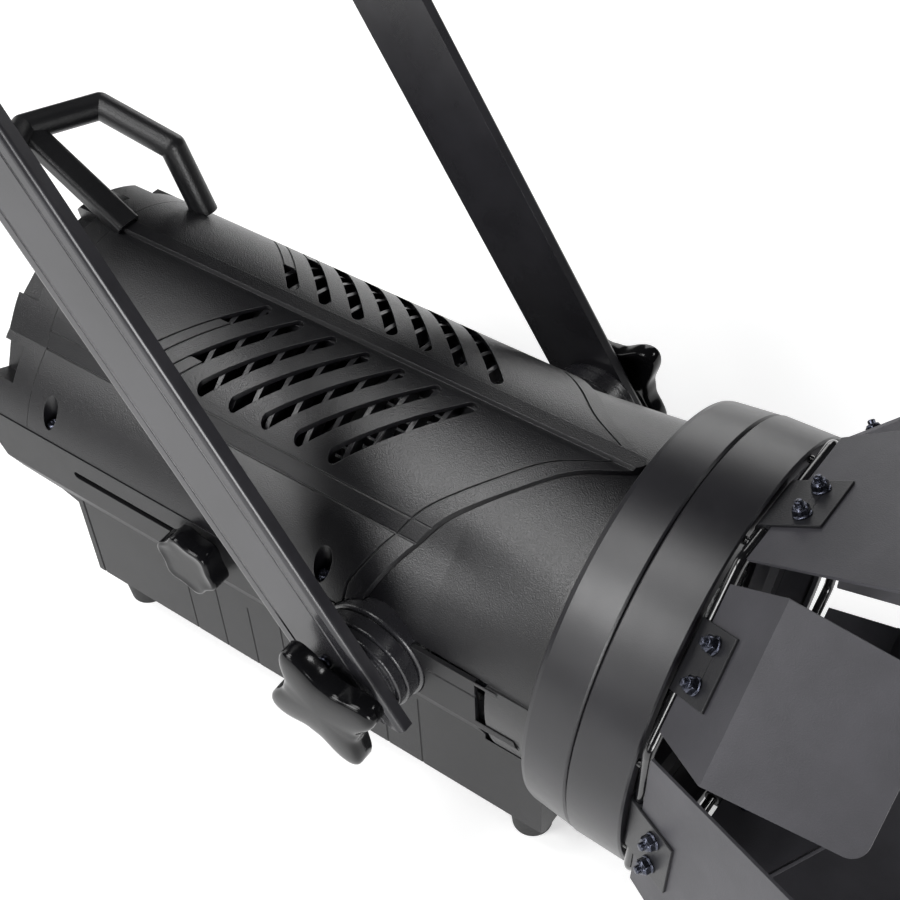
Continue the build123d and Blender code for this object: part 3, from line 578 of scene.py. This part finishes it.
def door_hinge(name):
    """A strap cut from the CAD part, with rounded edges, and detailed bolts and lock nuts."""
    node = f"{name}_hinge"
    mesh, parts = loose_parts(node)
    parts.sort(key=lambda part: span([vert.co for vert in part]))
    nuts = [[vert.co.copy() for vert in part] for part in parts[:2]]
    screws = [[vert.co.copy() for vert in part] for part in parts[2:4]]
    bolts = Shape()
    for nut in nuts:
        middle = centre(nut)
        screw = min(screws, key=lambda points: (centre(points) - middle).length)
        axis = (middle - centre(screw)).normalized()
        seat = middle + axis * reaches(nut, middle, axis)[0]
        lowest, highest = reaches(screw, seat, axis)
        lock_nut(bolts, seat, axis)
        bolt_end(bolts, seat, axis, highest)
        head_seat = seat + axis * (lowest + HINGE_HEAD_HEIGHT)
        pan_head(bolts, head_seat, -axis, HINGE_HEAD_RADIUS, HINGE_HEAD_HEIGHT)
    bolts.piece(f"{name}_bolts", name, "screw_steel", looks=[LOOKS["screw_steel"], NYLON])

    spare = [vert for part in parts[:4] for vert in part]
    bmesh.ops.delete(mesh, geom=spare, context="VERTS")
    data = bpy.data.meshes.new(f"{name}_strap")
    mesh.to_mesh(data)
    mesh.free()
    strap = place_piece(f"{name}_strap", data, name, (node,), [LOOKS["hinge_strap"]])
    edge = strap.modifiers.new("rounded_edges", "BEVEL")
    edge.width = STRAP_ROUNDING
    edge.segments = 2
    edge.limit_method = "ANGLE"
    edge.angle_limit = math.radians(50)


def screw_group(node, body, radius, height):
    """Detailed pan-head screws in place of a CAD node of plain ones."""
    mesh, parts = loose_parts(node)
    shape = Shape()
    for part in parts:
        low, high = extent([vert.co for vert in part])
        size = high - low
        middle = (low + high) / 2
        longest = max(range(3), key=lambda k: size[k])
        length = size[longest]
        axis = Vector((0.0, 0.0, 0.0))
        axis[longest] = 1.0 if longest == 2 or middle.x > 0 else -1.0
        top = middle + axis * (length / 2)
        pan_head(shape, top - axis * height, axis, radius, height)
        shank = [(-length + 0.3 * MM, 1.2 * MM), (-length + 0.9 * MM, 1.85 * MM),
                 (-height - 0.02 * MM, 1.9 * MM)]
        shape.turned(top, axis, shank, segments=32)
    mesh.free()
    shape.piece(f"{node}_detail", body, "screw_steel", node)


tilt_knob("tilt_knob_left", -1, LEFT_TILT_TURN)
tilt_knob("tilt_knob_right", 1, RIGHT_TILT_TURN)
focus_knob()
for body in frame["record"]["behaviour"]["bodies"]:
    if body.endswith("_door"):
        door_hinge(body)
screw_group("yoke_screws", "yoke", YOKE_HEAD_RADIUS, YOKE_HEAD_HEIGHT)
screw_group("housing_screws", "housing", HOUSING_HEAD_RADIUS, HOUSING_HEAD_HEIGHT)


# ------------------------------------------------------------------ floor, light and camera
FLOOR_HALF_SIZE = 6.0
FLOOR_GLOW = 0.45
AIR_STRENGTH = 0.03
LAMP_DISTANCE = 2.3
# name: azimuth and elevation in degrees, power in watts, width in metres
SOFTBOXES = {
    "key_softbox": (320.0, 15.0, 34.0, 1.0),
    "left_high_softbox": (236.0, 42.0, 24.0, 0.9),
    "left_low_softbox": (248.0, 18.0, 5.0, 0.8),
    "top_rear_softbox": (212.0, 66.0, 14.0, 0.8),
    "rear_low_softbox": (180.0, 17.0, 9.0, 1.2),
    "right_low_softbox": (112.0, 20.0, 12.0, 1.2),
    "accent_softbox": (45.0, 38.0, 5.0, 0.35),
}
CAMERA_AZIMUTH = -52.46
CAMERA_ELEVATION = 47.67
CAMERA_ROLL = -2.84
CAMERA_DISTANCE = 0.7968
CAMERA_LENS = 59.44
CAMERA_SHIFT = 0.042
TARGET_FROM_PIVOT = Vector((7.94, 28.52, 5.76)) * MM


def sky_direction(azimuth, elevation):
    """A unit vector; azimuth 0 is in front, 90 on the +X side."""
    turn, rise = math.radians(azimuth), math.radians(elevation)
    return Vector((math.sin(turn) * math.cos(rise), -math.cos(turn) * math.cos(rise), math.sin(rise)))


def pale_floor():
    grid = bmesh.new()
    bmesh.ops.create_grid(grid, x_segments=24, y_segments=24, size=FLOOR_HALF_SIZE)
    mesh = bpy.data.meshes.new("studio_floor")
    grid.to_mesh(mesh)
    grid.free()
    floor = bpy.data.objects.new("studio_floor", mesh)
    bpy.context.scene.collection.objects.link(floor)
    g = Graph("pale_floor")
    body = g.ramp(g.noise(3.0, detail=3.0), [(0.3, (0.93, 0.93, 0.93)), (0.7, (0.96, 0.96, 0.96))])
    g.set(Base_Color=body, Roughness=g.spread(g.noise(40.0), 0.55, 0.7), Emission_Color=body,
          Emission_Strength=FLOOR_GLOW)
    mesh.materials.append(g.material)


def soft_light(name, azimuth, elevation, power, size):
    """A square softbox aimed at the pivot."""
    away = sky_direction(azimuth, elevation)
    data = bpy.data.lights.new(name, "AREA")
    data.shape = "SQUARE"
    data.size = size
    data.energy = power
    lamp = bpy.data.objects.new(name, data)
    bpy.context.scene.collection.objects.link(lamp)
    lamp.location = PIVOT + away * LAMP_DISTANCE
    lamp.rotation_mode = "QUATERNION"
    lamp.rotation_quaternion = (-away).to_track_quat("-Z", "Y")


def studio():
    world = bpy.data.worlds.new("studio_air")
    world.use_nodes = True
    sky = world.node_tree.nodes["Background"]
    sky.inputs["Color"].default_value = (1.0, 1.0, 1.02, 1.0)
    sky.inputs["Strength"].default_value = AIR_STRENGTH
    bpy.context.scene.world = world
    for name, settings in SOFTBOXES.items():
        soft_light(name, *settings)


def camera():
    back = sky_direction(CAMERA_AZIMUTH, CAMERA_ELEVATION)
    data = bpy.data.cameras.new("photo_camera")
    data.sensor_width = 36.0
    data.lens = CAMERA_LENS
    data.shift_y = CAMERA_SHIFT
    data.clip_start = 0.01
    eye = bpy.data.objects.new("photo_camera", data)
    bpy.context.scene.collection.objects.link(eye)
    eye.location = PIVOT + TARGET_FROM_PIVOT + back * CAMERA_DISTANCE
    eye.rotation_mode = "QUATERNION"
    roll = Quaternion((0.0, 0.0, 1.0), math.radians(CAMERA_ROLL))
    eye.rotation_quaternion = (-back).to_track_quat("-Z", "Y") @ roll
    bpy.context.scene.camera = eye


pale_floor()
studio()
camera()
bpy.context.scene.view_settings.view_transform = "Standard"
